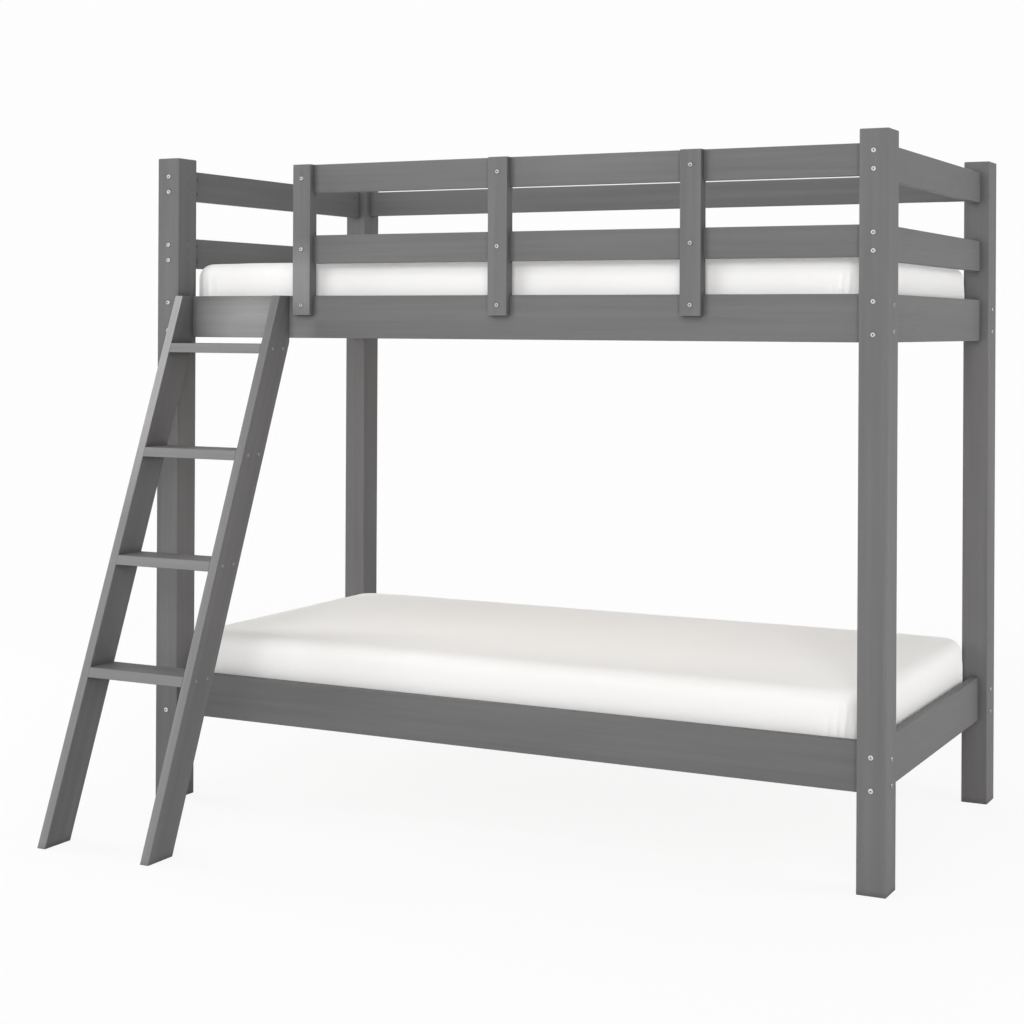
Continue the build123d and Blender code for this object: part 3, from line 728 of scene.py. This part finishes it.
STRAP_WIDTH = 0.025
STRAP_STEP = 0.012
STRAP_SAG = 0.0012
STRAP_PROFILE = [  # the ribbon's outline, as shares of its half width and of its thickness
    (-1.0, 0.5), (-0.96, 0.9), (-0.88, 1.0), (-0.3, 0.93), (0.3, 0.93), (0.88, 1.0), (0.96, 0.9),
    (1.0, 0.5), (0.96, 0.1), (0.88, 0.0), (0.3, 0.07), (-0.3, 0.07), (-0.88, 0.0), (-0.96, 0.1)]
SLAT_REACH = 0.075  # more than a slat's width, and less than the way to the next slat


def slat_spans(level):
    """The low and high X of each slat, from the gaps between its points."""
    points = sorted({round(v.co.x, 5) for v in nodes[f"{level}_slats"].data.vertices})
    spans = [[points[0], points[0]]]
    for x in points:
        if x - spans[-1][0] > SLAT_REACH:
            spans.append([x, x])
        spans[-1][1] = x
    return spans


def strap_sag(x, spans):
    """How far the webbing hangs between two slats, none where it is held under one."""
    for (_, start), (end, _) in zip(spans, spans[1:]):
        if start < x < end:
            return STRAP_SAG * math.sin(math.pi * (x - start) / (end - start)) ** 2
    return 0.0


def make_strap(name, low, high, spans):
    """A ribbon with rolled edges, from end to end of the slats."""
    thick = high.z - low.z
    middle = (low.y + high.y) / 2
    count = int((high.x - low.x) / STRAP_STEP)
    rows = []
    for k in range(count + 1):
        x = low.x + (high.x - low.x) * k / count
        sag = strap_sag(x, spans)
        rows.append([(x, middle + y * STRAP_WIDTH / 2, low.z + z * thick - sag)
                     for y, z in STRAP_PROFILE])
    bm = bmesh.new()
    rings = bridge(bm, rows, flip=True)
    bm.faces.new(rings[0])
    bm.faces.new(list(reversed(rings[-1])))
    bmesh.ops.recalc_face_normals(bm, faces=bm.faces)
    return piece_from(name, bm, tape_cloth)


for level in ("lower", "upper"):
    low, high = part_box(f"{level}_slat_straps")
    spans = slat_spans(level)
    front_high = Vector((high.x, low.y + STRAP_WIDTH, high.z))
    back_low = Vector((low.x, high.y - STRAP_WIDTH, low.z))
    front = make_strap(f"{level}_strap_front", low, front_high, spans)
    back = make_strap(f"{level}_strap_back", back_low, high, spans)
    for strap in (front, back):
        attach(strap, "frame")
    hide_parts(f"{level}_slat_straps")


# ---- Floor, light and camera ----

SEEN_WHITE = (0.985, 0.985, 0.985, 1)  # what the camera sees of the floor far off and of the sky
FLOOR_COLOUR = (0.93, 0.93, 0.93, 1.0)
FLOOR_REACH = 40
FLOOR_DROP = 0.0005  # below the feet, so that no two faces lie in one plane
FLOOR_WHITENESS = 0.90  # how far the camera sees the floor by the bed as plain white
FLOOR_FADE = (1.3, 4.5)  # from the bed's middle, where the floor turns to plain white
SKY_STRENGTH = 0.06
SOFTBOXES = {  # place, aim, size and power, about the floor under the bed's middle
    "front_left_softbox": ((-2.6, -5.0, 2.2), (0, 0, 0.9), (3.0, 3.0), 73),
    "front_right_softbox": ((2.2, -5.4, 2.2), (0, 0, 0.9), (3.0, 3.0), 150),
    "left_softbox": ((-5.0, -0.6, 2.0), (0, 0, 0.9), (3.0, 3.0), 185),
    "right_softbox": ((3.3, 0.0, 1.3), (1.0, 0, 0.8), (1.6, 1.8), 41),
    "back_softbox": ((-0.8, 5.0, 2.4), (0, 0, 0.9), (3.0, 3.0), 95),
    "front_top_softbox": ((0.2, -2.6, 4.0), (0, 0, 0.6), (4.0, 2.0), 40),
    "overhead_softbox": ((0.0, 0.4, 4.2), (0, 0.4, 1.0), (3.0, 1.6), 37),
}


def camera_sees(tree):
    """1 for what the camera sees, straight or in metal or glass, and 0 for the light itself."""
    paths = tree.nodes.new("ShaderNodeLightPath")
    seen = paths.outputs["Is Camera Ray"]
    for ray in ("Is Glossy Ray", "Is Transmission Ray"):
        either = tree.nodes.new("ShaderNodeMath")
        either.operation = "MAXIMUM"
        tree.links.new(seen, either.inputs[0])
        tree.links.new(paths.outputs[ray], either.inputs[1])
        seen = either.outputs[0]
    return seen


def make_floor():
    mesh = bpy.data.meshes.new("floor")
    bm = bmesh.new()
    bmesh.ops.create_grid(bm, x_segments=2, y_segments=2, size=FLOOR_REACH)
    bm.to_mesh(mesh)
    bm.free()
    floor = bpy.data.objects.new("floor", mesh)
    bpy.context.scene.collection.objects.link(floor)
    g = Graph("floor_paper")
    tree = g.tree
    output = tree.nodes["Material Output"]
    g.finish(FLOOR_COLOUR, 1.0, Specular_IOR_Level=0.0)
    glow = g.add("Emission", Color=SEEN_WHITE, Strength=1.0)
    mixed = g.add("MixShader")
    reach = g.add("VectorMath", {"operation": "LENGTH"})
    g.put(reach.inputs[0], g.add("TexCoord").outputs["Object"])
    share = g.remap(reach.outputs["Value"], *FLOOR_FADE, FLOOR_WHITENESS, 1.0)
    tree.links.new(g.math("MULTIPLY", camera_sees(tree), share), mixed.inputs[0])
    tree.links.new(g.shader.outputs[0], mixed.inputs[1])
    tree.links.new(glow.outputs[0], mixed.inputs[2])
    tree.links.new(mixed.outputs[0], output.inputs["Surface"])
    mesh.materials.append(g.material)
    floor.location = (bed_middle.x, bed_middle.y, -FLOOR_DROP)


def make_sky():
    """Even light from all round, which the camera sees as white."""
    world = bpy.data.worlds.new("studio")
    world.use_nodes = True
    tree = world.node_tree
    light = tree.nodes["Background"]
    light.inputs["Color"].default_value = (1, 1, 1, 1)
    light.inputs["Strength"].default_value = SKY_STRENGTH
    white = tree.nodes.new("ShaderNodeBackground")
    white.inputs["Color"].default_value = SEEN_WHITE
    white.inputs["Strength"].default_value = 1.0
    mixed = tree.nodes.new("ShaderNodeMixShader")
    tree.links.new(camera_sees(tree), mixed.inputs[0])
    tree.links.new(light.outputs[0], mixed.inputs[1])
    tree.links.new(white.outputs[0], mixed.inputs[2])
    tree.links.new(mixed.outputs[0], tree.nodes["World Output"].inputs["Surface"])
    bpy.context.scene.world = world


def soft_light(name, place, target, size, power):
    light = bpy.data.lights.new(name, "AREA")
    light.shape = "RECTANGLE"
    light.size, light.size_y = size
    light.energy = power
    lamp = bpy.data.objects.new(name, light)
    lamp.location = bed_middle.xy.to_3d() + Vector(place)
    aim = bed_middle.xy.to_3d() + Vector(target) - lamp.location
    lamp.rotation_euler = aim.to_track_quat("-Z", "Y").to_euler()
    lamp.visible_camera = False
    bpy.context.scene.collection.objects.link(lamp)


def make_camera():
    camera = bpy.data.cameras.new("camera")
    camera.sensor_width = SENSOR
    camera.lens = FOCAL_PIXELS / IMAGE_SIZE * SENSOR
    camera.shift_y = -(IMAGE_SIZE / 2 - HORIZON_ROW) / IMAGE_SIZE
    eye = bpy.data.objects.new("camera", camera)
    bpy.context.scene.collection.objects.link(eye)
    turn = Matrix.Rotation(math.radians(CAMERA_YAW), 4, "Z")
    level = Matrix.Rotation(math.radians(90), 4, "X")
    roll = Matrix.Rotation(math.radians(CAMERA_ROLL), 4, "Z")
    floor_middle = Matrix.Translation(bed_middle.xy.to_3d() + CAMERA_FROM_BED)
    eye.matrix_world = floor_middle @ turn @ level @ roll
    bpy.context.scene.camera = eye


make_floor()
make_sky()
for name, lamp in SOFTBOXES.items():
    soft_light(name, *lamp)
make_camera()

bpy.context.scene.view_settings.view_transform = "Standard"
